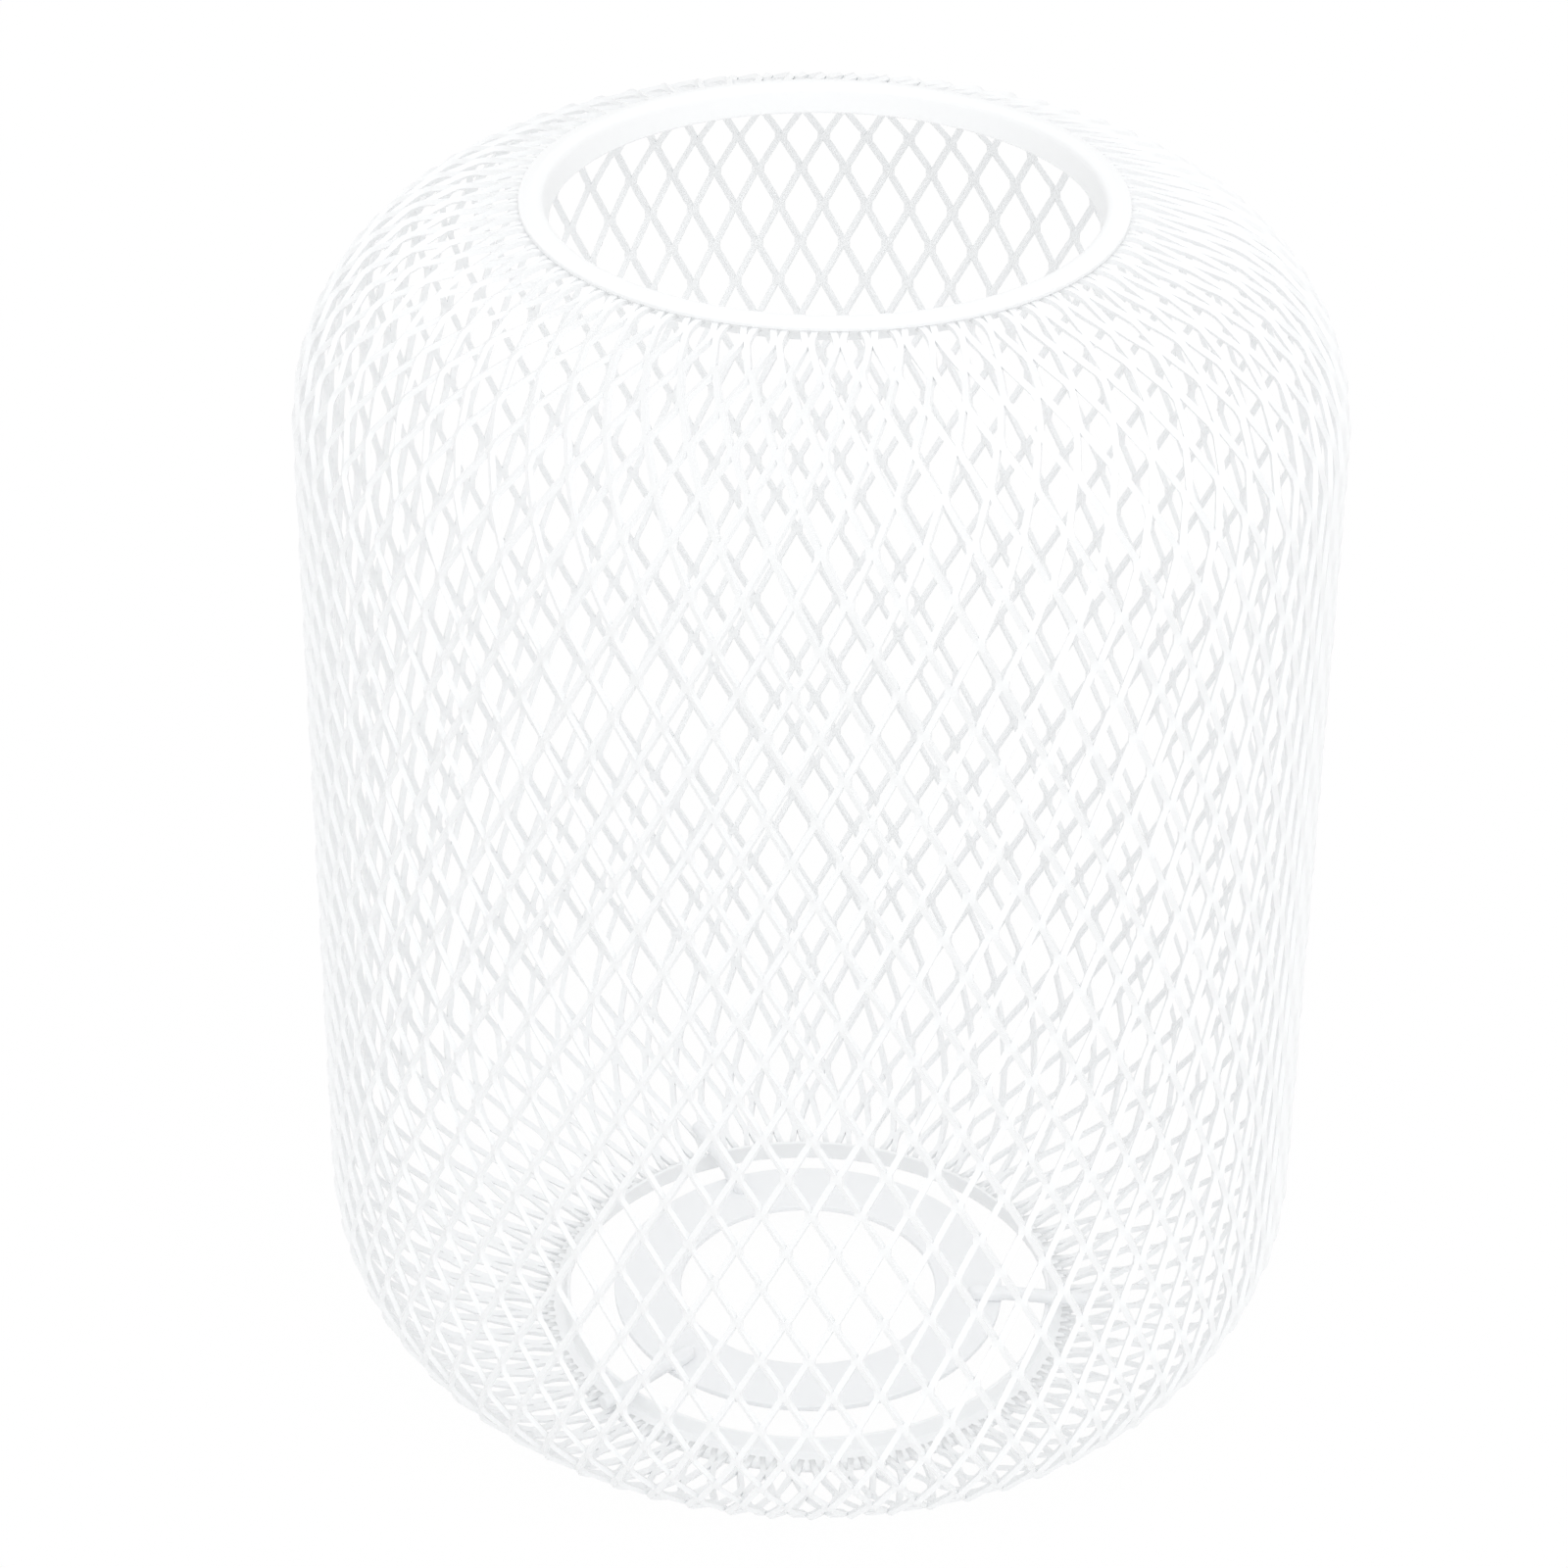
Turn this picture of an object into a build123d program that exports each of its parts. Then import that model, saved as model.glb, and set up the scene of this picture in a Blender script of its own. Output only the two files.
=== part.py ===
"""Expanded-metal lampshade: a barrel of diamond mesh, a rolled rim at each mouth and a fitter ring on three rods.

Millimetres. +Z is up along the shade's axis, the bottom rim stands on Z = 0, and the fitter end is at the bottom.
"""
import os
from math import cos, degrees, pi, radians, sin, sqrt, tan

from build123d import *

# Overall sizes of the shade
shade_height = 199.0
body_diameter = 154.0

# Rolled rim around each mouth, with the same section at the top and at the bottom
lip_edge_diameter = 78.4
lip_depth = 4.2
lip_lean_in = 0.7
lip_sheet = 0.6
crown_bend = 0.9
crown_bend_steps = 3
crown_flat = 1.0
crown_slope_width = 1.8
crown_drop = 0.45
rim_seat = 1.0

# Expanded-metal wall, with its diamonds drawn four times their true size
mesh_thickness = 1.5
mesh_edge_tuck = 1.6
seat_margin = 0.3
shoulder_offset = 1.4
shoulder_slope = 13.8
shoulder_bends = 5
cells_around = 17
gap_rows = 7
strand_width = 6.2

# Fitter ring for the lampholder, and the rods that carry it
fitter_diameter = 64.0
fitter_hole_diameter = 42.0
fitter_thickness = 1.0
spoke_diameter = 2.3
spoke_lap = 5.5
spoke_overhang = 2.8
spoke_angles = (-6.0, 115.0, 226.0)

# Sizes that follow from the ones above
body_radius = body_diameter / 2
lip_edge_radius = lip_edge_diameter / 2
lip_root_radius = lip_edge_radius + lip_lean_in
crown_radius = lip_root_radius + crown_bend
slope_start_radius = crown_radius + crown_flat
rim_radius = slope_start_radius + crown_slope_width
mesh_end_radius = rim_radius - mesh_edge_tuck
seat_end_radius = rim_radius + seat_margin
slope = radians(shoulder_slope)
shoulder_turn = pi / 2 - slope
shoulder_centre_radius = rim_radius + shoulder_offset
shoulder_radius = body_radius - shoulder_centre_radius
shoulder_centre_height = rim_seat + (shoulder_offset - seat_margin) * tan(slope) + shoulder_radius / cos(slope)
slope_length = (shoulder_offset - seat_margin + shoulder_radius * sin(slope)) / cos(slope)
middle = shade_height / 2
straight_half = middle - shoulder_centre_height
slope_start = straight_half + shoulder_radius * shoulder_turn
meridian_half = slope_start + slope_length + seat_margin
strip_half_angle = pi / (2 * cells_around)
strip_angle = degrees(2 * strip_half_angle)


def wall_point(along):
    """Point and outward direction of the wall's outside, a signed distance along the wall from its middle.

    The wall runs straight, then round the shoulder, then down a slope to the flat seat under the rim.
    """
    side = 1 if along >= 0 else -1
    distance = abs(along)
    turn = min(max(0.0, distance - straight_half) / shoulder_radius, shoulder_turn)
    sloped = min(max(0.0, distance - slope_start), slope_length)
    flat = max(0.0, distance - slope_start - slope_length)
    radius = shoulder_centre_radius + shoulder_radius * cos(turn) - sloped * cos(slope) - flat
    rise = min(distance, straight_half) + shoulder_radius * sin(turn) + sloped * sin(slope)
    lean = pi / 2 if flat > 0 else turn
    return Vector(radius, 0, middle + side * rise), Vector(cos(lean), 0, side * sin(lean))


def wall_outline(inset):
    """Corners of the wall's outside, or of a face an inset below it, from the lower mouth up to the upper one."""
    bend = shoulder_radius - inset
    seat_corner = seat_end_radius + inset * tan(slope / 2)
    lower = [(mesh_end_radius, rim_seat + inset), (seat_corner, rim_seat + inset)]
    for step in range(shoulder_bends + 1):
        turn = shoulder_turn * (1 - step / shoulder_bends)
        radius = shoulder_centre_radius + bend * cos(turn)
        height = shoulder_centre_height - bend * sin(turn)
        lower.append((radius, height))
    upper = [(radius, shade_height - height) for radius, height in reversed(lower)]
    return lower + upper


def closed_strip():
    """One flat-sided strip of the barrel wall, bent at the shoulders and wedged to half a cell of the mesh."""
    corners = wall_outline(0) + wall_outline(mesh_thickness)[::-1]
    wedge_reach = body_radius + mesh_thickness
    half_width = wedge_reach * tan(strip_half_angle)
    with BuildPart() as strip:
        with BuildSketch(Plane.XZ):
            Polygon(*corners, align=None)
        extrude(amount=half_width, both=True)
        with BuildSketch(Plane.XY):
            Polygon((0, 0), (wedge_reach, -half_width), (wedge_reach, half_width), align=None)
        extrude(amount=shade_height, mode=Mode.INTERSECT)
    return strip.part


def diamond_cutter(along, row_pitch, side):
    """Prism that opens one diamond at a strip's edge, square to the wall and reaching along it to its two tips."""
    centre, outward = wall_point(along)
    cell_width = 2 * pi * centre.X / cells_around
    across = cell_width * 2 * row_pitch / sqrt(cell_width**2 + (2 * row_pitch) ** 2)
    share = 1 - strand_width / across
    upward = Vector(-outward.Z, 0, outward.X)
    upper_tip = wall_point(along + share * row_pitch)[0]
    lower_tip = wall_point(along - share * row_pitch)[0]
    upper_reach = (upper_tip - centre).dot(upward)
    lower_reach = (lower_tip - centre).dot(upward)
    sagitta = max((centre - upper_tip).dot(outward), (centre - lower_tip).dot(outward))
    edge = side * tan(strip_half_angle)
    plane = Plane(origin=centre + outward * mesh_thickness, x_dir=(0, 1, 0), z_dir=outward)
    lift = 1 if plane.y_dir.dot(upward) > 0 else -1
    with BuildPart() as cutter:
        with BuildSketch(plane):
            Polygon(
                (edge * centre.X * (1 + 2 * share), 0),
                (edge * upper_tip.X, lift * upper_reach),
                (edge * centre.X * (1 - 2 * share), 0),
                (edge * lower_tip.X, lift * lower_reach),
                align=None,
            )
        extrude(amount=-sagitta - 3 * mesh_thickness)
    return cutter.part


def mesh_body():
    """Ring of strips, every other one mirrored, whose half diamonds meet at the strips' edges in staggered rows.

    One more row at each end runs out under the rim, so that the strands end there in short fingers.
    """
    row_pitch = 2 * meridian_half / (gap_rows + 1)
    cutters = []
    for row in range(gap_rows + 2):
        along = (row - (gap_rows + 1) / 2) * row_pitch
        cutters.append(diamond_cutter(along, row_pitch, 1 if row % 2 else -1))
    strip = closed_strip() - cutters
    mirrored = mirror(strip, about=Plane.XZ)
    ring = []
    for pair in range(cells_around):
        ring.append(Rot(0, 0, 2 * pair * strip_angle) * strip)
        ring.append(Rot(0, 0, (2 * pair + 1) * strip_angle) * mirrored)
    return ring[0] + ring[1:]


def rolled_rim():
    """Ring with its crown on Z = 0: a sloping outer edge, a round bend into a lip that leans inwards, a flat seat."""
    lean = lip_lean_in / (lip_depth - crown_bend)
    lip_width = lip_sheet * sqrt(1 + lean**2)
    lip_back_radius = lip_root_radius + lip_width - lean * (rim_seat - crown_bend)
    bend = []
    for step in range(crown_bend_steps + 1):
        turn = pi / 2 * step / crown_bend_steps
        bend.append((crown_radius - crown_bend * sin(turn), crown_bend * (1 - cos(turn))))
    with BuildPart() as rim:
        with BuildSketch(Plane.XZ):
            Polygon(
                (rim_radius, rim_seat),
                (rim_radius, crown_drop),
                (slope_start_radius, 0),
                *bend,
                (lip_edge_radius, lip_depth),
                (lip_edge_radius + lip_width, lip_depth),
                (lip_back_radius, rim_seat),
                align=None,
            )
        revolve(axis=Axis.Z)
    return rim.part


def fitter_ring():
    """Flat washer level with the free edge of the bottom rim's lip."""
    with BuildPart() as ring:
        with BuildSketch(Plane.XY.offset(lip_depth)):
            Circle(fitter_diameter / 2)
            Circle(fitter_hole_diameter / 2, mode=Mode.SUBTRACT)
        extrude(amount=-fitter_thickness)
    return ring.part


def spoke(angle):
    """Straight rod that lies on the washer and on the lip's edge, and ends just past the rim."""
    inner_end = fitter_diameter / 2 - spoke_lap
    outer_end = rim_radius + spoke_overhang
    start = Vector(inner_end, 0, lip_depth + spoke_diameter / 2)
    rod = extrude(Plane(origin=start, z_dir=(1, 0, 0)) * Circle(spoke_diameter / 2), amount=outer_end - inner_end)
    return Rot(0, 0, angle) * rod


bottom_rim = rolled_rim()
top_rim = Pos(0, 0, shade_height) * Rot(180, 0, 0) * bottom_rim

os.makedirs("parts", exist_ok=True)
export_step(mesh_body(), "parts/mesh_body.step")
export_step(bottom_rim, "parts/bottom_rim.step")
export_step(top_rim, "parts/top_rim.step")
export_step(fitter_ring(), "parts/fitter_ring.step")
for number, angle in enumerate(spoke_angles, start=1):
    export_step(spoke(angle), f"parts/spoke_{number}.step")
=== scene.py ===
"""Looks of the expanded-metal lampshade: diamond mesh, two rolled rims, fitter ring and rods.

Metres. The shade stands on Z = 0, +Z is up along its axis and -Y is the side that the camera sees.
"""
from math import cos, pi, radians, sin, tan

import bpy
import numpy as np
from bpy.props import FloatProperty, FloatVectorProperty, IntProperty, PointerProperty
from mathutils import Matrix, Vector


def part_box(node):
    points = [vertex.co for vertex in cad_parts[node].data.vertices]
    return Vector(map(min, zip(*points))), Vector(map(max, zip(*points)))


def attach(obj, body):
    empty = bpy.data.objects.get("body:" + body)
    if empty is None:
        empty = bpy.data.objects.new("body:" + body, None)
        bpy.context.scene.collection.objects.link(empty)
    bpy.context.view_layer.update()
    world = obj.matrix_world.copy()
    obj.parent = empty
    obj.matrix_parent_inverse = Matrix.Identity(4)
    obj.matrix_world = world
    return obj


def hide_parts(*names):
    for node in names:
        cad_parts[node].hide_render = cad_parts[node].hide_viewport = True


bl_info = {
    "name": "Expanded-metal lampshade",
    "version": (1, 0, 0),
    "blender": (4, 5, 0),
    "location": "3D View > Sidebar > Lampshade",
    "description": "Builds the mesh wall, rims, fitter ring, rods and studio of a white metal lampshade",
    "category": "Object",
}

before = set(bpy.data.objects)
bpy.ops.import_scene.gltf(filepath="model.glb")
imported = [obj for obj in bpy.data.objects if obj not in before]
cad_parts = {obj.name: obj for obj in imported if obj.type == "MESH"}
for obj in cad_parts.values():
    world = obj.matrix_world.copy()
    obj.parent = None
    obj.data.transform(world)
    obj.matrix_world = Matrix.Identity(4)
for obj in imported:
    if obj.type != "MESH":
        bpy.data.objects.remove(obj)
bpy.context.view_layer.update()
wall_low, wall_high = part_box("mesh_body")
rim_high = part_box("bottom_rim")[1]
shade_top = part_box("top_rim")[1].z
washer_low, washer_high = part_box("fitter_ring")
rod_boxes = [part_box(f"spoke_{number}") for number in (1, 2, 3)]
rod_low, rod_high = rod_boxes[0]

# The wall stays this much inside the solid wall's box, and a turned ring has this many steps
box_margin = 0.00001
ring_steps = 256


def length(name, description, default):
    """Length property in metres, with the name and the description that the sidebar shows."""
    return FloatProperty(name=name, description=description, default=default, unit="LENGTH", precision=5)


def degrees(name, description, default):
    """Angle property, with its default in degrees."""
    return FloatProperty(name=name, description=description, default=radians(default), subtype="ANGLE")


def amount(name, description, default):
    """Plain number that can't be less than nothing."""
    return FloatProperty(name=name, description=description, default=default, min=0.0)


def colour(name, description, default):
    """Colour property, written as linear red, green and blue."""
    return FloatVectorProperty(
        name=name, description=description, default=default, subtype="COLOR", size=3, min=0.0, max=1.0
    )


class ShadeSizes(bpy.types.PropertyGroup):
    """Sizes of the shade's pieces, some of them read from the boxes of the solids."""

    body_radius: length("Body radius", "Outside of the straight wall", wall_high.x - box_margin)
    shade_height: length("Height", "From the bottom crown to the top crown", shade_top)
    rim_seat: length("Rim seat", "Height of the seat that the mesh is welded to", wall_low.z)
    rim_radius: length("Rim radius", "Outside of both rims", rim_high.x)
    lip_depth: length("Lip depth", "From the crown to the lip's free edge", rim_high.z)
    seat_margin: length("Seat margin", "Flat edge of the wall outside the rim", 0.0003)
    shoulder_offset: length("Shoulder offset", "From the rim to the middle of the shoulder's bend", 0.0014)
    shoulder_slope: degrees("Slope", "Fall of the wall beside the rims", 13.8)
    cells_around: IntProperty(name="Cells around", description="Diamonds in one row", default=68, min=12)
    strand_reach: length("Strand reach", "Middle of one bond to the middle of the next", 0.00745)
    strand_width: length("Strand width", "Width of one cut strand", 0.00092)
    strand_thickness: length("Strand thickness", "Thickness of the sheet", 0.00075)
    strand_tuck: length("Strand tuck", "How far the strands' tips reach in under the rims", 0.0016)
    bond_length: length("Bond length", "Length over which two strands stay joined", 0.0014)
    strand_tilt: degrees("Strand tilt", "Turn of the strands out of the wall", 30)
    end_tilt: degrees("End tilt", "Turn that is left of it under the rims", 2)
    flat_start: length("Flat start", "From the rim to where the tilt starts to lessen", 0.011)
    flat_length: length("Flat length", "Length over which the tilt lessens", 0.010)
    mesh_turn: degrees("Mesh turn", "Place of one bond around the axis", 0.25)
    mesh_shift: length("Mesh shift", "Height of that bond against the middle", 0.0003)
    row_rise: length("Row rise", "How much higher the rows lie at the front than at mid depth", 0.00165)
    rise_fade: length("Rise fade", "Length beside the rims over which the rows come level", 0.035)
    crown_slope: length("Crown slope", "Width of the crown's falling outer part", 0.0018)
    crown_drop: length("Crown drop", "How far that part falls", 0.00045)
    crown_flat: length("Crown flat", "Width of the crown's flat part", 0.0010)
    crown_bend: length("Crown bend", "Round from the crown into the lip", 0.0009)
    lip_lean: length("Lip lean", "How far the lip leans inwards", 0.0007)
    lip_sheet: length("Lip sheet", "Thickness of the lip's sheet", 0.0006)
    weld_fill: length("Weld fill", "Weld and paint between the strands on a rim's seat", 0.00068)
    washer_radius: length("Washer radius", "Outside of the fitter ring", washer_high.x)
    hole_radius: length("Hole radius", "Hole for the lampholder", 0.021)
    washer_low: length("Washer underside", "Height of the washer's lower face", washer_low.z)
    washer_high: length("Washer top", "Height of the washer's upper face", washer_high.z)
    rod_radius: length("Rod radius", "Half the rod's thickness", (rod_high.z - rod_low.z) / 2)
    rod_start: length("Rod start", "Inner end of the rods from the axis", 0.0265)
    rod_end: length("Rod end", "Outer end of the rods from the axis", 0.0464)


class CoatColours(bpy.types.PropertyGroup):
    """Colours of the powder coat on each group of pieces, and of the stage."""

    mesh: colour("Mesh", "Coat on the expanded metal", (0.93, 0.938, 0.943))
    rim: colour("Rims", "Coat on both rims", (0.93, 0.938, 0.943))
    # Painted shade: the washer and rods wear the same white coat as the mesh, drawn a little darker and
    # bluer for where they sit deep inside the shade
    fitter: colour("Fitter", "Coat on the washer and the rods", (0.91, 0.92, 0.93))
    floor: colour("Floor", "Studio floor", (0.95, 0.95, 0.95))


class StudioLevels(bpy.types.PropertyGroup):
    """Light of the studio and the camera's place."""

    sky: amount("Sky", "Strength of the even light", 0.68)
    ring: amount("Ring", "Strength of the ring of light half way up", 0.32)
    key: amount("Key", "Strength of the soft sun", 0.75)
    key_spread: degrees("Key spread", "Width of the soft sun", 60)
    floor_white: amount("Floor white", "Share of plain white in the floor that is seen", 0.97)
    camera_distance: length("Camera distance", "From the camera to the point it looks at", 0.6696)
    camera_lens: amount("Lens", "Focal length in millimetres", 99.94)
    camera_height: degrees("Elevation", "Camera's angle above the floor", 31.285)
    camera_roll: degrees("Roll", "Camera's turn about its own view", 0.883)
    camera_aim: length("Aim", "Height of the point looked at above the middle", 0.00119)
    camera_shift: FloatProperty(name="Shift", description="Sideways shift of the frame", default=-0.02035)


class Value:
    """Output of a shader node. Operators on it add Math nodes, also with a plain number on the left."""

    def __init__(self, graph, socket):
        self.graph = graph
        self.socket = socket

    def maths(self, operation, first, second):
        """Result of one Math node on two values or numbers."""
        return self.graph.node("ShaderNodeMath", {"operation": operation}, {0: first, 1: second})

    def __add__(self, other):
        return self.maths("ADD", self, other)

    def __radd__(self, other):
        return self.maths("ADD", other, self)

    def __sub__(self, other):
        return self.maths("SUBTRACT", self, other)

    def __rsub__(self, other):
        return self.maths("SUBTRACT", other, self)

    def __mul__(self, other):
        return self.maths("MULTIPLY", self, other)

    def __rmul__(self, other):
        return self.maths("MULTIPLY", other, self)

    def __or__(self, other):
        return self.maths("MAXIMUM", self, other)

    __ror__ = __or__


class Graph:
    """Node tree of one material or world."""

    def __init__(self, tree):
        self.tree = tree
        tree.nodes.clear()

    def seen(self):
        """One for rays from the camera, from gloss or through glass, which are to find a white studio."""
        return (
            self.node("ShaderNodeLightPath", output="Is Camera Ray")
            | self.node("ShaderNodeLightPath", output="Is Glossy Ray")
            | self.node("ShaderNodeLightPath", output="Is Transmission Ray")
        )

    def node(self, kind, settings=None, inputs=None, output=0):
        """One node of a type, with its settings first and then the values or links of its sockets."""
        made = self.tree.nodes.new(kind)
        for name, setting in (settings or {}).items():
            setattr(made, name, setting)
        for name, value in (inputs or {}).items():
            if isinstance(value, Value):
                self.tree.links.new(value.socket, made.inputs[name])
            else:
                made.inputs[name].default_value = value
        return Value(self, made.outputs[output]) if made.outputs else made


def powder_coat(name, base, shade):
    """Satin powder coat: two near tones in soft clouds, a fine orange peel and a sheen that wanders.

    The darker tone is the base colour times the shade.
    """
    material = bpy.data.materials.new(name)
    material.use_nodes = True
    graph = Graph(material.node_tree)
    place = graph.node("ShaderNodeTexCoord", output="Object")
    cloudy = {"Vector": place, "Scale": 45.0, "Detail": 3.0, "Roughness": 0.5}
    peeled = {"Vector": place, "Scale": 1500.0, "Detail": 2.0, "Roughness": 0.6}
    clouds = graph.node("ShaderNodeTexNoise", None, cloudy)
    peel = graph.node("ShaderNodeTexNoise", None, peeled)
    tone = graph.node(
        "ShaderNodeMix",
        {"data_type": "RGBA"},
        {0: 0.25 + clouds * 0.5, 6: (*[part * shade for part in base], 1.0), 7: (*base, 1.0)},
        output=2,
    )
    bump = graph.node("ShaderNodeBump", None, {"Strength": 0.12, "Distance": 0.00004, "Height": peel})
    coat = graph.node(
        "ShaderNodeBsdfPrincipled",
        None,
        {"Base Color": tone, "Roughness": 0.36 + clouds * 0.1 + peel * 0.06, "Normal": bump, "IOR": 1.5},
    )
    graph.node("ShaderNodeOutputMaterial", None, {"Surface": coat})
    return material


def add_piece(name, points, faces, material, replaced, sharp=None):
    """Puts arrays of points and of four-cornered faces into one object that rides on the shade."""
    mesh = bpy.data.meshes.new(name)
    mesh.vertices.add(len(points))
    mesh.vertices.foreach_set("co", np.asarray(points, np.float32).ravel())
    mesh.loops.add(faces.size)
    mesh.loops.foreach_set("vertex_index", np.asarray(faces, np.int32).ravel())
    mesh.polygons.add(len(faces))
    mesh.polygons.foreach_set("loop_start", np.arange(0, faces.size, 4, dtype=np.int32))
    mesh.update(calc_edges=True)
    mesh.polygons.foreach_set("use_smooth", np.ones(len(faces), bool))
    if sharp is not None:
        ends = np.empty(2 * len(mesh.edges), np.int32)
        mesh.edges.foreach_get("vertices", ends)
        mark = mesh.attributes.new("sharp_edge", "BOOLEAN", "EDGE")
        mark.data.foreach_set("value", sharp(ends.reshape(-1, 2)))
    if mesh.validate():
        raise RuntimeError(f"{name} has faces that are not sound")
    mesh.materials.append(material)
    piece = bpy.data.objects.new(name, mesh)
    bpy.context.scene.collection.objects.link(piece)
    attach(piece, "root")
    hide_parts(replaced)


def smooth_step(share):
    """Smooth rise from nought to one, three squares less two cubes of a share that is kept between them."""
    share = np.clip(share, 0.0, 1.0)
    return share * share * (3 - 2 * share)


def bell(place, middle, width):
    """Bell curve of height one, e to the power of minus the square of the distance over the width."""
    return np.exp(-(((place - middle) / width) ** 2))


def wall_place(sizes, along, angle, tilt):
    """Middle of the mesh and its directions around, up and out, where along runs up the wall.

    The outside is a straight wall, a round shoulder on each side of it, a slope and a flat edge under
    each rim. The middle lies as far under the outside as a bond of two tilted strands reaches.
    """
    sink = sizes.strand_width * np.sin(tilt) + sizes.strand_thickness / 2 * np.cos(tilt)
    straight, bend, centre_radius, middle = wall_form(sizes)
    slope_start, slope_length = slope_form(sizes)
    slope = sizes.shoulder_slope
    side = np.sign(along)
    distance = np.abs(along)
    turn = np.maximum(distance - straight, 0.0) / (slope_start - straight) * (pi / 2 - slope)
    turn = np.minimum(turn, pi / 2 - slope)
    sloped = np.clip(distance - slope_start, 0.0, slope_length)
    flat = np.maximum(distance - slope_start - slope_length, 0.0)
    radius = centre_radius + (bend - sink) * np.cos(turn) - sloped * cos(slope) - flat
    rise = np.minimum(distance, straight) + (bend - sink) * np.sin(turn) + sloped * sin(slope)
    height = middle + side * rise
    radial = np.stack([np.sin(angle), -np.cos(angle), 0 * angle], -1)
    around = np.stack([np.cos(angle), np.sin(angle), 0 * angle], -1)
    axis = np.array([0.0, 0.0, 1.0])
    rise = (side * np.sin(turn))[..., None]
    level = np.cos(turn)[..., None]
    point = radius[..., None] * radial + height[..., None] * axis
    return point, around, level * axis - rise * radial, level * radial + rise * axis


def wall_form(sizes):
    """Half the straight wall, the shoulders' outside radius, the radius of their middles, and mid height."""
    centre_radius = sizes.rim_radius + sizes.shoulder_offset
    bend = sizes.body_radius - centre_radius
    middle = sizes.shade_height / 2
    drop = (sizes.shoulder_offset - sizes.seat_margin) * tan(sizes.shoulder_slope)
    shoulder = sizes.rim_seat + drop + bend / cos(sizes.shoulder_slope)
    return middle - shoulder, bend, centre_radius, middle


def slope_form(sizes):
    """Place along the mesh's middle where a shoulder turns into its slope, and the slope's length."""
    straight, bend = wall_form(sizes)[:2]
    inner_bend = bend - bond_sink(sizes)
    slope = sizes.shoulder_slope
    run_in = sizes.shoulder_offset - sizes.seat_margin + inner_bend * sin(slope)
    return straight + inner_bend * (pi / 2 - slope), run_in / cos(slope)


def rim_place(sizes):
    """Place along the mesh's middle where it comes to the rim's outer edge."""
    slope_start, slope_length = slope_form(sizes)
    return slope_start + slope_length + sizes.seat_margin


def bond_sink(sizes):
    """Depth of the mesh's middle under its outside on the straight wall."""
    return sizes.strand_width * sin(sizes.strand_tilt) + sizes.strand_thickness / 2 * cos(sizes.strand_tilt)


def bond_rows(sizes):
    """Places of the rows of bonds along the wall, counted from the row at the mesh shift.

    Every strand has the same reach, so a row's pitch is the other leg of the triangle that has the reach
    as its long side and half a cell as its first leg. Rows stand where the sum of steps over pitch is whole.
    """
    rows_past_rim = 0.012
    samples = 8001
    rim_edge = rim_place(sizes)
    reach = rim_edge + rows_past_rim
    along = np.linspace(-reach, reach, samples)
    inside = np.clip(along, -rim_edge, rim_edge)
    point = wall_place(sizes, inside, 0 * inside, sizes.strand_tilt + 0 * inside)[0]
    radius = -point[:, 1]
    pitch = np.sqrt(sizes.strand_reach**2 - (pi * radius / sizes.cells_around) ** 2)
    count = np.concatenate([[0.0], np.cumsum((1 / pitch[1:] + 1 / pitch[:-1]) / 2 * np.diff(along))])
    count -= np.interp(sizes.mesh_shift, along, count)
    first = int(np.ceil(count[0]))
    last = int(np.floor(count[-1]))
    rows = np.arange(first, last + 1)
    return rows, np.interp(rows, count, along), rim_edge


def mesh_sections(sizes):
    """Sections along every strand: the row it leaves, the share of the way to the next, its place, its bond.

    A row gives the bond's two ends and two sections on the straight run to the next bond. A tip under
    each rim takes the place of what lies beyond it.
    """
    straight_from = 0.16
    least_share = 0.02
    tip_clearance = 0.0001
    rows, places, rim_edge = bond_rows(sizes)
    rows = rows[:-1].astype(float)
    run_start = places[:-1] + sizes.bond_length / 2
    run = np.diff(places) - sizes.bond_length
    tip_place = (rim_edge + sizes.strand_tuck) * np.array([-1.0, 1.0])
    tip_row = np.searchsorted(run_start, tip_place) - 1
    tip_share = np.clip((tip_place - run_start[tip_row]) / run[tip_row], least_share, 1 - least_share)
    tip_end = run_start[tip_row] + tip_share * run[tip_row]
    tips = np.stack([rows[tip_row], tip_share, tip_end, 0 * tip_share], -1)
    sections = [tips]
    for share, place, bonded in (
        (0.0, run_start - sizes.bond_length, 1.0),
        (0.0, run_start, 1.0),
        (straight_from, run_start + straight_from * run, 0.0),
        (1 - straight_from, run_start + (1 - straight_from) * run, 0.0),
    ):
        inside = (place > tip_end[0] + tip_clearance) & (place < tip_end[1] - tip_clearance)
        level = np.ones(inside.sum())
        sections.append(np.stack([rows[inside], share * level, place[inside], bonded * level], -1))
    sections = np.concatenate(sections)
    return sections[np.argsort(sections[:, 2])]


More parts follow.
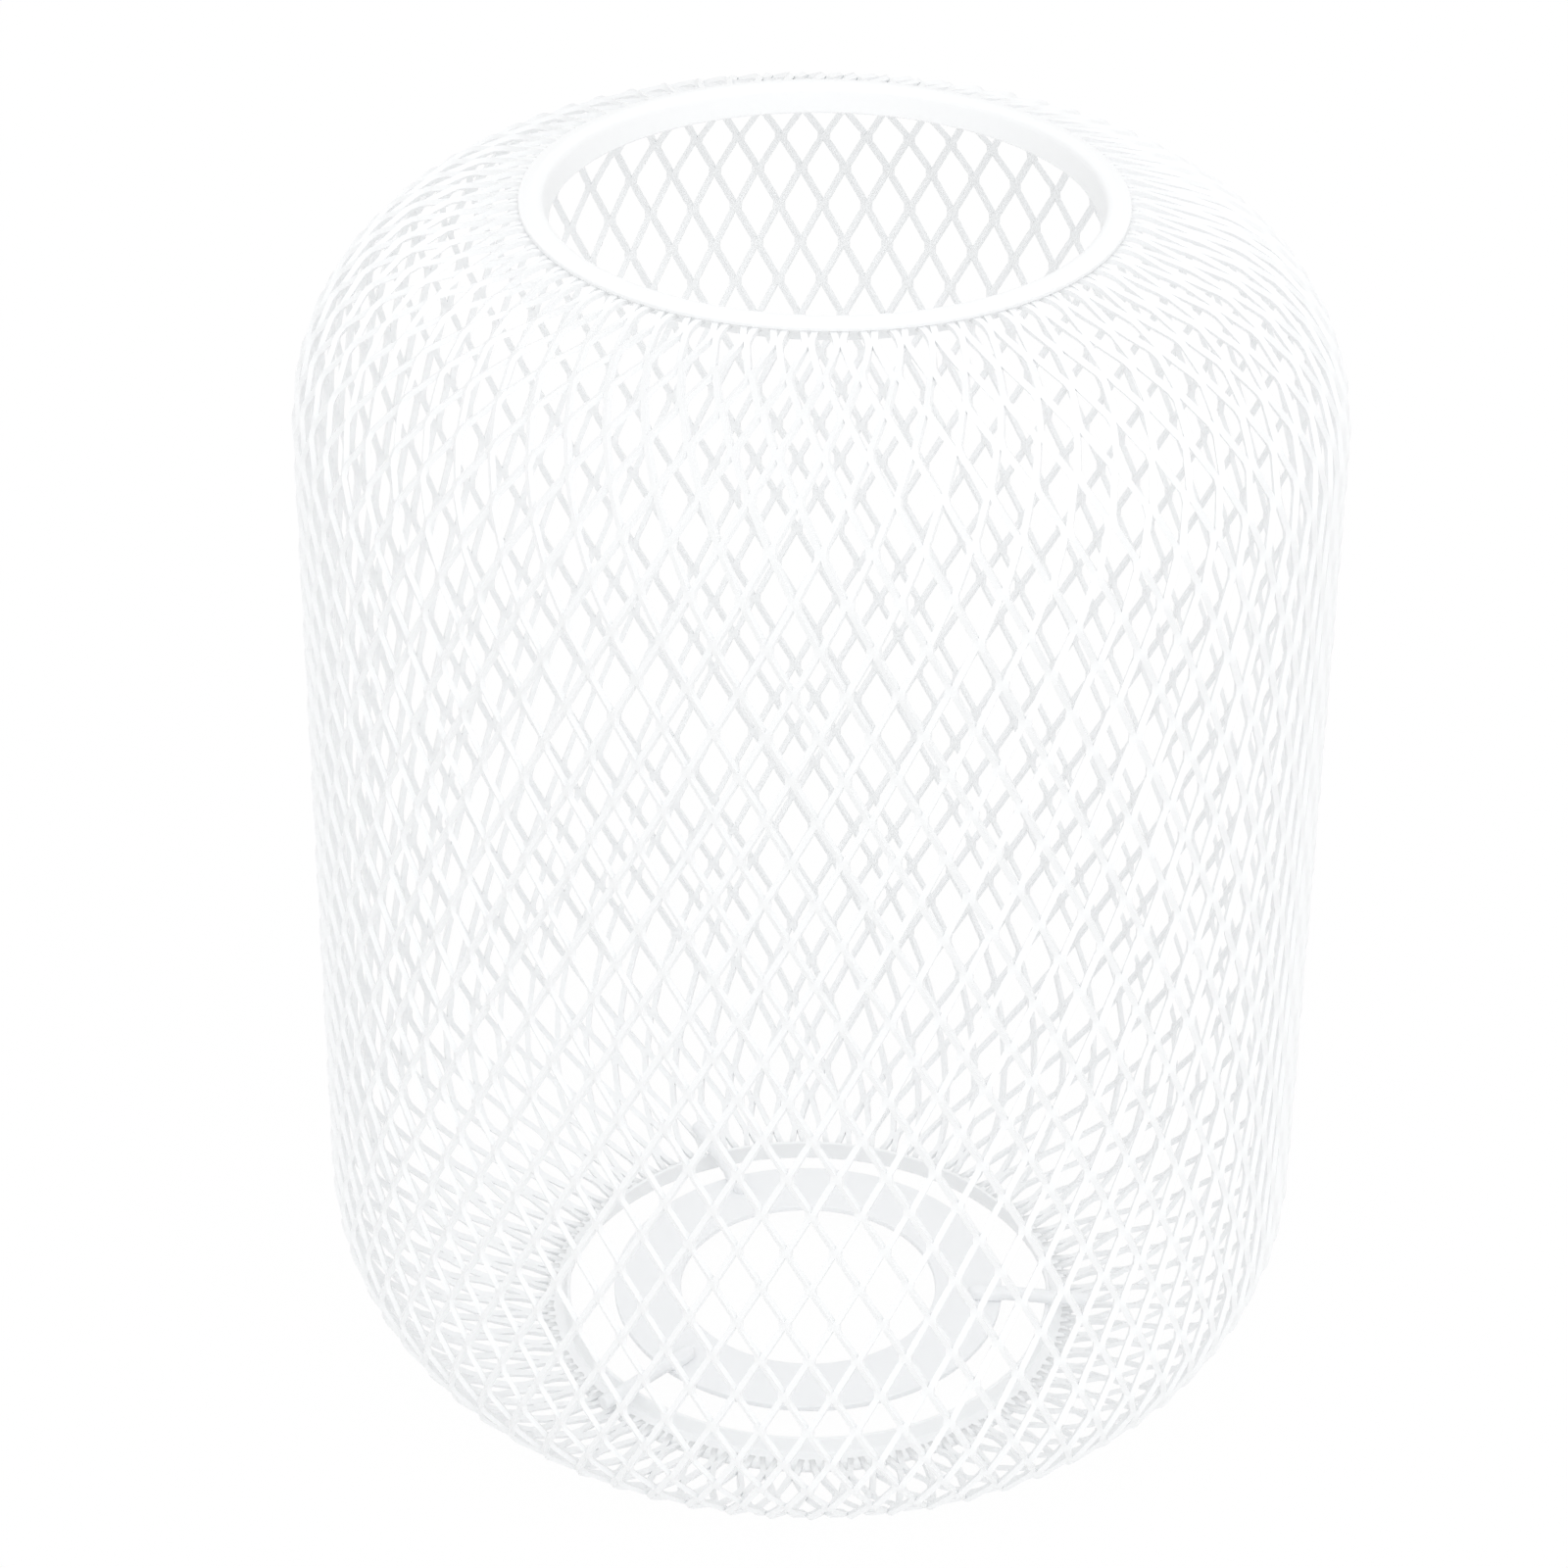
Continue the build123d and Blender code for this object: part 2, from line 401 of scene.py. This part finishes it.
def expanded_mesh(sizes):
    """Points and faces of the expanded metal, with each point's section and whether two strands share it.

    One zigzag strand runs between each two columns of bonds: strand k swings from column k to column
    k + 1 and back. At a bond it is the right one of two strands in its first column and the left one in
    the second, half its width to the side along the tilted direction. Its corners are half a width and
    half a thickness from its middle, square to its run. Where two strands are bonded they share the
    corners between them and have no face there, so the whole mesh is one closed skin. The rows rise
    towards the front by the cosine of the angle around the axis, and come level beside the rims, where
    the strands also lie flat.
    """
    columns = 2 * sizes.cells_around
    sections = mesh_sections(sizes)
    row, share, along, bond = sections.T
    at_bond = bond > 0
    strand = np.arange(columns)[:, None]
    right = (strand + row.astype(int)[None, :]) % 2 == 0
    way = np.where(right, share, 1 - share)
    angle = sizes.mesh_turn + (strand + way) * pi / sizes.cells_around
    rim_edge = rim_place(sizes)
    askew = smooth_step((rim_edge - np.abs(along)) / sizes.rise_fade)
    along = along + sizes.row_rise * np.cos(angle) * askew
    flattened = smooth_step((np.abs(along) - rim_edge + sizes.flat_start) / sizes.flat_length)
    tilt = sizes.strand_tilt + (sizes.end_tilt - sizes.strand_tilt) * flattened
    point, around, up, out = wall_place(sizes, along, angle, tilt)
    wide = np.cos(tilt)[..., None] * around + np.sin(tilt)[..., None] * out
    member = np.where(right, 1 - 2 * share, 2 * share - 1) * sizes.strand_width / 2
    centre = point + member[..., None] * wide
    step = np.diff(centre, axis=1)
    count = len(row)
    run = np.concatenate([step[:, :1], step[:, :-1] + step[:, 1:], step[:, -1:]], 1)
    run = np.where(at_bond[None, :, None], up, run)
    run /= np.linalg.norm(run, axis=-1, keepdims=True)
    wide = wide - (wide * run).sum(-1, keepdims=True) * run
    wide /= np.linalg.norm(wide, axis=-1, keepdims=True)
    face_out = np.cross(wide, run)
    wide = wide * sizes.strand_width / 2
    face_out = face_out * sizes.strand_thickness / 2
    corners = np.stack(
        [
            centre - wide + face_out,
            centre + wide + face_out,
            centre + wide - face_out,
            centre - wide - face_out,
        ],
        2,
    )
    index = np.arange(columns * count * 4).reshape(columns, count, 4)
    bonded = right & at_bond[None, :]
    neighbour = np.roll(index, 1, axis=0)
    index[..., 0] = np.where(bonded, neighbour[..., 1], index[..., 0])
    index[..., 3] = np.where(bonded, neighbour[..., 2], index[..., 3])
    turned = np.roll(index, -1, axis=2)
    quads = np.stack([index[:, :-1], turned[:, :-1], turned[:, 1:], index[:, 1:]], -1)
    shown = np.ones(quads.shape[:3], bool)
    inside_bond = (at_bond[:-1] & at_bond[1:])[None, :]
    shown[..., 3] = ~(inside_bond & right[:, :-1])
    shown[..., 1] = ~(inside_bond & ~right[:, :-1])
    caps = np.concatenate([index[:, 0, ::-1], index[:, -1]])
    faces = np.concatenate([quads[shown], caps])
    used, faces = np.unique(faces, return_inverse=True)
    of_section = np.tile(np.repeat(np.arange(count), 4), columns)[used]
    crotch = np.isin(used, index[bonded][:, [0, 3]])
    return corners.reshape(-1, 3)[used], faces.reshape(-1, 4), of_section, crotch


def rounded_section(rounded_corners, steps):
    """Closed outline with a round at every corner, each given as its radius, its height and its round.

    The round is an arc that touches both sides at the round times tan of half the turn from the corner.
    """
    rounded_corners = np.asarray(rounded_corners, float)
    corners = rounded_corners[:, :2]
    radii = rounded_corners[:, 2:]
    into = corners - np.roll(corners, 1, axis=0)
    into /= np.linalg.norm(into, axis=1, keepdims=True)
    away = np.roll(into, -1, axis=0)
    cross = into[:, :1] * away[:, 1:] - into[:, 1:] * away[:, :1]
    turn = np.arctan2(cross, (into * away).sum(1, keepdims=True))
    start = corners - into * radii * np.abs(np.tan(turn / 2))
    inward = np.sign(turn) * np.stack([-into[:, 1], into[:, 0]], 1)
    swing = turn * np.linspace(0.0, 1.0, steps)[None, :]
    along = np.sin(np.abs(swing))[..., None] * into[:, None] * radii[:, None]
    across = (1 - np.cos(swing))[..., None] * inward[:, None] * radii[:, None]
    return (start[:, None] + along + across).reshape(-1, 2)


def turned_ring(section):
    """Points and faces of an outline of radius and height turned round the axis, with its seam closed."""
    angle = np.linspace(0.0, 2 * pi, ring_steps, endpoint=False)[:, None]
    radius = section[None, :, 0]
    height = np.broadcast_to(section[None, :, 1], (ring_steps, len(section)))
    points = np.stack([radius * np.cos(angle), radius * np.sin(angle), height], -1)
    index = np.arange(ring_steps * len(section)).reshape(ring_steps, len(section))
    next_angle = np.roll(index, -1, axis=0)
    next_corner = np.roll(index, -1, axis=1)
    faces = np.stack([index, next_angle, np.roll(next_angle, -1, axis=1), next_corner], -1)
    return points.reshape(-1, 3), faces.reshape(-1, 4)


def lip_edge(sizes):
    """Radius of the lip's free edge."""
    crown = sizes.crown_slope + sizes.crown_flat + sizes.crown_bend
    return sizes.rim_radius - crown - sizes.lip_lean


def rim_section(sizes):
    """Outline of the bottom rim: a crown that falls to its outer edge, a round bend and a leaning lip.

    A fill of weld on the seat starts a little inside the outer edge.
    """
    seat_round = 0.00006
    fill_round = 0.0002
    back_round = 0.0003
    edge_round = 0.00025
    bend_round = 0.0008
    fall_round = 0.003
    bend_inset = 0.29 * sizes.crown_bend
    outer = sizes.rim_radius
    fall = outer - sizes.crown_slope
    crown = fall - sizes.crown_flat
    edge = lip_edge(sizes)
    root = edge + sizes.lip_lean
    lean = sizes.lip_lean / (sizes.lip_depth - sizes.crown_bend)
    lip_width = sizes.lip_sheet * (1 + lean**2) ** 0.5
    fill = sizes.rim_seat + sizes.weld_fill
    corners = [
        (outer, sizes.rim_seat, seat_round),
        (outer - sizes.weld_fill, fill, fill_round),
        (root + lip_width - lean * (fill - sizes.crown_bend), fill, back_round),
        (edge + lip_width, sizes.lip_depth, edge_round),
        (edge, sizes.lip_depth, edge_round),
        (root, sizes.crown_bend, bend_round),
        (root + bend_inset, bend_inset, bend_round),
        (crown, 0.0, bend_round),
        (fall, 0.0, fall_round),
        (outer, sizes.crown_drop, edge_round),
    ]
    return rounded_section(corners, steps=7)


def washer_section(sizes):
    """Outline of the flat washer with its stamped edges just broken."""
    stamped_round = 0.0002
    corners = [
        (sizes.washer_radius, sizes.washer_high, stamped_round),
        (sizes.hole_radius, sizes.washer_high, stamped_round),
        (sizes.hole_radius, sizes.washer_low, stamped_round),
        (sizes.washer_radius, sizes.washer_low, stamped_round),
    ]
    return rounded_section(corners, steps=5)


def welded_rod(sizes, turn):
    """Points and faces of one rod on the washer: an ellipse carried outwards, wide and low at its welds.

    The half width is the rod's radius times a factor that swells at the washer and at the lip, and the
    half height shrinks there. A quarter round closes the inner end, and a small one the outer end. Over
    the washer the lower half is drawn out towards a box, as weld and paint fill the corners beside the rod.
    """
    sides = 32
    run_steps = 44
    inner_nose = 1.3 * sizes.rod_radius
    outer_nose = 0.25 * sizes.rod_radius
    outer_face = 0.8
    washer_weld_middle = sizes.washer_radius - 0.0025
    washer_weld_length = 0.0020
    lip_weld_middle = lip_edge(sizes) + 0.0006
    lip_weld_length = 0.0010
    lap_end = sizes.washer_radius + 0.0004
    lap_fade = 0.0008
    boxiness = 0.65
    quarter = np.linspace(0.12, pi / 2, 12)
    inner = sizes.rod_start + inner_nose * (1 - np.cos(quarter))
    outer = sizes.rod_end - outer_nose * (1 - np.cos(quarter[::-1]))
    run = np.linspace(inner[-1], outer[0], run_steps)[1:-1]
    place = np.concatenate([inner, run, outer])
    blunt = outer_face + (1 - outer_face) * np.sin(quarter[::-1])
    closing = np.concatenate([np.sin(quarter), 0 * run + 1, blunt])
    steps = len(place)
    washer_weld = bell(place, washer_weld_middle, washer_weld_length)
    lip_weld = bell(place, lip_weld_middle, lip_weld_length)
    wide = sizes.rod_radius * (1 + 0.16 * washer_weld + 0.08 * lip_weld)
    tall = sizes.rod_radius * (1 - 0.12 * washer_weld - 0.06 * lip_weld)
    lap = np.clip((lap_end - place) / lap_fade, 0.0, 1.0)
    angle = np.linspace(0.0, 2 * pi, sides, endpoint=False)[None, :]
    power = np.where(np.sin(angle) < 0, 1 - boxiness * lap[:, None], 1.0)
    across = np.sign(np.cos(angle)) * np.abs(np.cos(angle)) ** power
    upward = np.sign(np.sin(angle)) * np.abs(np.sin(angle)) ** power
    depth = np.where((np.sin(angle) < 0) & (lap[:, None] > 0), 1.0, closing[:, None])
    side = (wide * closing)[:, None] * across
    height = sizes.washer_high + tall[:, None] * (1 + depth * upward)
    out = np.broadcast_to(place[:, None], side.shape)
    east = out * cos(turn) - side * sin(turn)
    north = out * sin(turn) + side * cos(turn)
    points = np.stack([east, north, height], -1)
    index = np.arange(steps * sides).reshape(steps, sides)
    turned = np.roll(index, -1, axis=1)
    walls = np.stack([index[:-1], turned[:-1], turned[1:], index[1:]], -1).reshape(-1, 4)
    half = sides // 2
    low = np.arange(half - 1)
    fan = np.stack([low, low + 1, sides - 2 - low, sides - 1 - low], -1)
    caps = np.concatenate([fan[:, ::-1], fan + (steps - 1) * sides])
    return points.reshape(-1, 3), np.concatenate([walls, caps])


class LAMPSHADE_OT_mesh_wall(bpy.types.Operator):
    """Builds the fine expanded-metal wall in the place of the solid wall"""

    bl_idname = "lampshade.mesh_wall"
    bl_label = "Mesh wall"

    def execute(self, context):
        scene = context.scene
        points, faces, section, shared = expanded_mesh(scene.lampshade_sizes)
        coat = powder_coat("mesh_coat", scene.lampshade_colours.mesh, 0.97)

        def crisp(ends):
            """Whether an edge runs along a strand or in the crotch of a bond, where it stays sharp."""
            lengthwise = section[ends[:, 0]] != section[ends[:, 1]]
            return lengthwise | shared[ends].all(1)

        add_piece("expanded_mesh", points, faces, coat, "mesh_body", crisp)
        return {"FINISHED"}


class LAMPSHADE_OT_rims(bpy.types.Operator):
    """Builds the two rolled rims, the upper one as the lower one turned over"""

    bl_idname = "lampshade.rims"
    bl_label = "Rolled rims"

    def execute(self, context):
        scene = context.scene
        sizes = scene.lampshade_sizes
        coat = powder_coat("rim_coat", scene.lampshade_colours.rim, 0.98)
        points, faces = turned_ring(rim_section(sizes))
        add_piece("lower_rim", points, faces[:, ::-1], coat, "bottom_rim")
        turned_over = points * (1, -1, -1) + (0, 0, sizes.shade_height)
        add_piece("upper_rim", turned_over, faces[:, ::-1], coat, "top_rim")
        return {"FINISHED"}


class LAMPSHADE_OT_fitter(bpy.types.Operator):
    """Builds the flat fitter ring and the three rods that carry it"""

    bl_idname = "lampshade.fitter"
    bl_label = "Fitter ring and rods"

    def execute(self, context):
        scene = context.scene
        sizes = scene.lampshade_sizes
        # The fitter's colour is the white coat darkened and blued a little, painted shade for its place deep
        # inside the shade
        coat = powder_coat("fitter_coat", scene.lampshade_colours.fitter, 0.97)
        points, faces = turned_ring(washer_section(sizes))
        add_piece("washer", points, faces[:, ::-1], coat, "fitter_ring")
        for number, (low, high) in enumerate(rod_boxes, start=1):
            centre = (low + high) / 2
            turn = np.arctan2(centre.y, centre.x)
            points, faces = welded_rod(sizes, turn)
            add_piece(f"rod_{number}", points, faces, coat, f"spoke_{number}")
        return {"FINISHED"}


class LAMPSHADE_OT_stage(bpy.types.Operator):
    """Builds the pale floor, the sky, the soft key light and the camera at the photograph's angle"""

    bl_idname = "lampshade.stage"
    bl_label = "Studio"

    def execute(self, context):
        scene = context.scene
        levels = scene.lampshade_levels
        self.add_floor(scene, levels)
        self.add_sky(scene, levels)
        self.add_key(scene, levels)
        self.add_camera(scene, levels)
        scene.view_settings.view_transform = "Standard"
        scene.cycles.diffuse_bounces = 12
        return {"FINISHED"}

    def add_floor(self, scene, levels):
        """Square floor at the height that the shade stands on, nearly plain white for rays that see it."""
        material = bpy.data.materials.new("studio_floor")
        material.use_nodes = True
        graph = Graph(material.node_tree)
        matt = graph.node("ShaderNodeBsdfDiffuse", None, {"Color": (*scene.lampshade_colours.floor, 1.0)})
        white = graph.node("ShaderNodeEmission", None, {"Color": (1.0, 1.0, 1.0, 1.0), "Strength": 1.0})
        share = graph.seen() * levels.floor_white
        mixed = graph.node("ShaderNodeMixShader", None, {0: share, 1: matt, 2: white})
        graph.node("ShaderNodeOutputMaterial", None, {"Surface": mixed})
        mesh = bpy.data.meshes.new("floor")
        half = 6.0
        corners = [(-half, -half, 0), (half, -half, 0), (half, half, 0), (-half, half, 0)]
        mesh.from_pydata(corners, [], [(0, 1, 2, 3)])
        mesh.materials.append(material)
        floor = bpy.data.objects.new("floor", mesh)
        scene.collection.objects.link(floor)

    def add_sky(self, scene, levels):
        """White light with a brighter ring half way up the sky, and plain white for rays that see it.

        The ring is the square of the height times what is left of it to the zenith, and 27 / 4 makes its
        peak one.
        """
        world = bpy.data.worlds.new("studio_sky")
        world.use_nodes = True
        graph = Graph(world.node_tree)
        direction = graph.node("ShaderNodeTexCoord", output="Generated")
        height = 0.0 | graph.node("ShaderNodeSeparateXYZ", None, {0: direction}, output="Z")
        light = levels.sky + height * height * (1.0 - height) * (27 / 4 * levels.ring)
        strength = light + graph.seen() * (1.0 - light)
        sky = graph.node("ShaderNodeBackground", None, {"Color": (1.0, 1.0, 1.0, 1.0), "Strength": strength})
        graph.node("ShaderNodeOutputWorld", None, {"Surface": sky})
        scene.world = world

    def add_key(self, scene, levels):
        """Wide sun from above, from the front and a little from the right."""
        light = bpy.data.lights.new("key_light", "SUN")
        light.energy = levels.key
        light.angle = levels.key_spread
        key = bpy.data.objects.new("key_light", light)
        key.rotation_mode = "QUATERNION"
        shining = Vector((-0.1, 0.6, -0.79))
        key.rotation_quaternion = shining.to_track_quat("-Z", "Y")
        scene.collection.objects.link(key)

    def add_camera(self, scene, levels):
        """Camera that looks down at the shade, turned by its small roll."""
        lens = bpy.data.cameras.new("camera")
        lens.lens = levels.camera_lens
        lens.sensor_width = 36.0
        lens.sensor_fit = "HORIZONTAL"
        lens.shift_x = levels.camera_shift
        lens.clip_start = 0.01
        lens.clip_end = 50.0
        aim = Vector((0.0, 0.0, scene.lampshade_sizes.shade_height / 2 + levels.camera_aim))
        back = Vector((0.0, -cos(levels.camera_height), sin(levels.camera_height)))
        right = Vector((1.0, 0.0, 0.0))
        up = back.cross(right)
        rolled_right = right * cos(levels.camera_roll) + up * sin(levels.camera_roll)
        rolled_up = up * cos(levels.camera_roll) - right * sin(levels.camera_roll)
        turn = Matrix((rolled_right, rolled_up, back)).transposed()
        camera = bpy.data.objects.new("camera", lens)
        camera.matrix_world = Matrix.Translation(aim + back * levels.camera_distance) @ turn.to_4x4()
        scene.collection.objects.link(camera)
        scene.camera = camera


class LAMPSHADE_PT_sidebar(bpy.types.Panel):
    """Sidebar that lists the pieces and the studio"""

    bl_label = "Lampshade"
    bl_idname = "LAMPSHADE_PT_sidebar"
    bl_space_type = "VIEW_3D"
    bl_region_type = "UI"
    bl_category = "Lampshade"

    def draw(self, context):
        for operator in operators:
            self.layout.operator(operator.bl_idname)


operators = (LAMPSHADE_OT_mesh_wall, LAMPSHADE_OT_rims, LAMPSHADE_OT_fitter, LAMPSHADE_OT_stage)
classes = (ShadeSizes, CoatColours, StudioLevels, *operators, LAMPSHADE_PT_sidebar)


def register():
    """Adds the classes and the scene's settings."""
    for one in classes:
        bpy.utils.register_class(one)
    bpy.types.Scene.lampshade_sizes = PointerProperty(type=ShadeSizes)
    bpy.types.Scene.lampshade_colours = PointerProperty(type=CoatColours)
    bpy.types.Scene.lampshade_levels = PointerProperty(type=StudioLevels)


def unregister():
    """Takes the settings and the classes out again."""
    del bpy.types.Scene.lampshade_levels
    del bpy.types.Scene.lampshade_colours
    del bpy.types.Scene.lampshade_sizes
    for one in reversed(classes):
        bpy.utils.unregister_class(one)


def main():
    """Builds the pieces and the stage."""
    register()
    bpy.ops.lampshade.mesh_wall()
    bpy.ops.lampshade.rims()
    bpy.ops.lampshade.fitter()
    bpy.ops.lampshade.stage()


if __name__ == "__main__":
    main()
